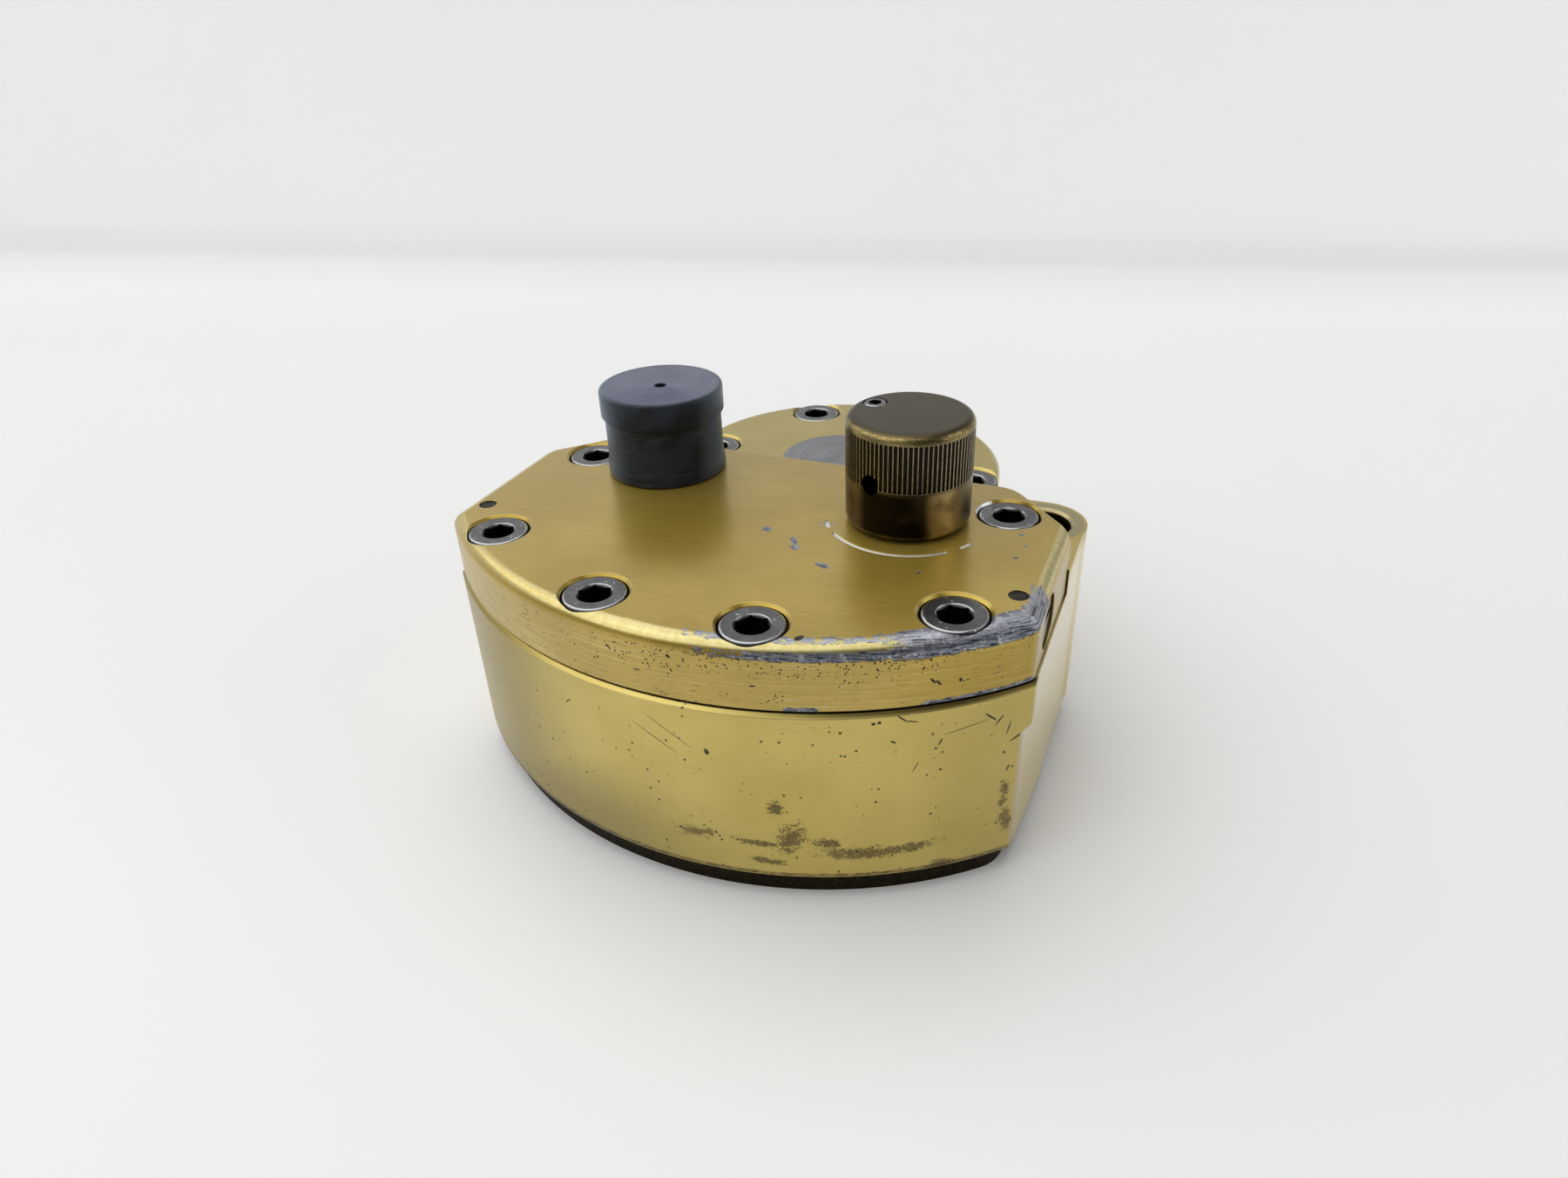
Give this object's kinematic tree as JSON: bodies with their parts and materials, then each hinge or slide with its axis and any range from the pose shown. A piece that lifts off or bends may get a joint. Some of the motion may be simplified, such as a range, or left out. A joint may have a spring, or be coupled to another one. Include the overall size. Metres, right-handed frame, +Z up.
{
  "type": "rotary steering damper",
  "caption": "Rotary vane steering damper: sector oil housing with a bearing lobe, bolted valve plate, fluted metering knob, rubber-capped relief valve and side sweep adjusters.",
  "frame": {"origin": "on the shaft's axis, at the shaft's lower end face, which is the mouth of the drive arm's bolt hole", "axes": "+Z up along the shaft's axis, -Y towards the round front of the housing, +X towards the metering knob's side"},
  "size_m": [0.086, 0.0927, 0.055],
  "materials": {
    "gold_anodised": "satin gold anodising, worn bare along the plate's front edge",
    "dark_cover": "dark anodised, dull",
    "bright_screws": "bright plated socket screws",
    "black_screws": "black oxide",
    "black_seals": "matte nitrile",
    "dark_plugs": "dull dark steel",
    "bush_bronze": "turned bronze",
    "turned_steel": "turned steel",
    "spring_wire": "drawn wire",
    "rotor_alloy": "machined",
    "bronze_knob": "dark bronze, worn, fluted",
    "valve_brass": "turned brass",
    "slate_rubber": "matte slate grey"
  },
  "bodies": {
    "housing": {"body": "gold_anodised", "bottom_cover": "dark_cover", "bottom_cover_screws": "black_screws", "cover_seal": "black_seals", "valve_plate": "gold_anodised", "valve_plate_screws": "bright_screws", "plate_seal": "black_seals", "passage_plugs": "dark_plugs", "bearing_cap": "gold_anodised", "bearing_cap_screws": "bright_screws", "upper_bush": "bush_bronze", "lower_bush": "bush_bronze", "upper_shaft_seal": "black_seals", "lower_shaft_seal": "black_seals", "thrust_washer": "bush_bronze", "valve_gland": "valve_brass", "spindle_o_ring": "black_seals", "relief_body": "valve_brass", "relief_spring": "spring_wire"},
    "shaft": {"main_shaft": "turned_steel", "shaft_key": "turned_steel", "vane_rotor": "rotor_alloy", "vane_tip_seal": "black_seals", "retaining_ring": "turned_steel"},
    "knob": {"adjuster_knob": "bronze_knob", "knob_grub_screw": "black_screws", "detent_screw": "black_screws", "detent_spring": "spring_wire", "detent_ball": "turned_steel", "valve_spindle": "turned_steel"},
    "needle": {"valve_needle": "turned_steel"},
    "cap": {"dust_cap": "slate_rubber"},
    "relief_screw": {"relief_adjuster": "valve_brass"},
    "poppet": {"relief_poppet": "turned_steel"},
    "left_sweep": {"left_sweep_adjuster": "turned_steel", "left_sweep_o_ring": "black_seals"},
    "right_sweep": {"right_sweep_adjuster": "turned_steel", "right_sweep_o_ring": "black_seals"}
  },
  "joints": [
    {"name": "steer_swing", "type": "hinge", "parent": "housing", "child": "shaft", "pos_m": [0, 0, 0], "axis": [0, 0, 1], "range_deg": [-40, 40]},
    {"name": "knob_turn", "type": "hinge", "parent": "housing", "child": "knob", "pos_m": [0.02025, -0.0271, 0.0392], "axis": [0, 0, 1], "range_deg": [-540, 540]},
    {"name": "needle_slide", "type": "slide", "parent": "housing", "child": "needle", "axis": [0, 0, 1], "range_m": [-0.0009, 0.0009]},
    {"name": "dust_cap_pull", "type": "slide", "parent": "housing", "child": "cap", "axis": [0, 0, 1], "range_m": [0, 0.016]},
    {"name": "relief_turn", "type": "hinge", "parent": "housing", "child": "relief_screw", "pos_m": [-0.0201, -0.0221, 0.0443], "axis": [0, 0, 1], "range_deg": [-360, 360]},
    {"name": "poppet_lift", "type": "slide", "parent": "housing", "child": "poppet", "axis": [0, 0, 1], "range_m": [0, 0.0015], "stiffness_N_per_m": 2000, "springref_m": -0.001, "deforming": ["relief_spring"]},
    {"name": "left_sweep_turn", "type": "hinge", "parent": "housing", "child": "left_sweep", "pos_m": [-0.042, -0.0392, 0.0339], "axis": [-1, 0, 0], "range_deg": [-360, 360]},
    {"name": "right_sweep_turn", "type": "hinge", "parent": "housing", "child": "right_sweep", "pos_m": [0.042, -0.0392, 0.0339], "axis": [1, 0, 0], "range_deg": [-360, 360]}
  ],
  "couplings": [
    {"joint": "needle_slide", "follows": "knob_turn", "m_per_rad": 0.000095493}
  ]
}
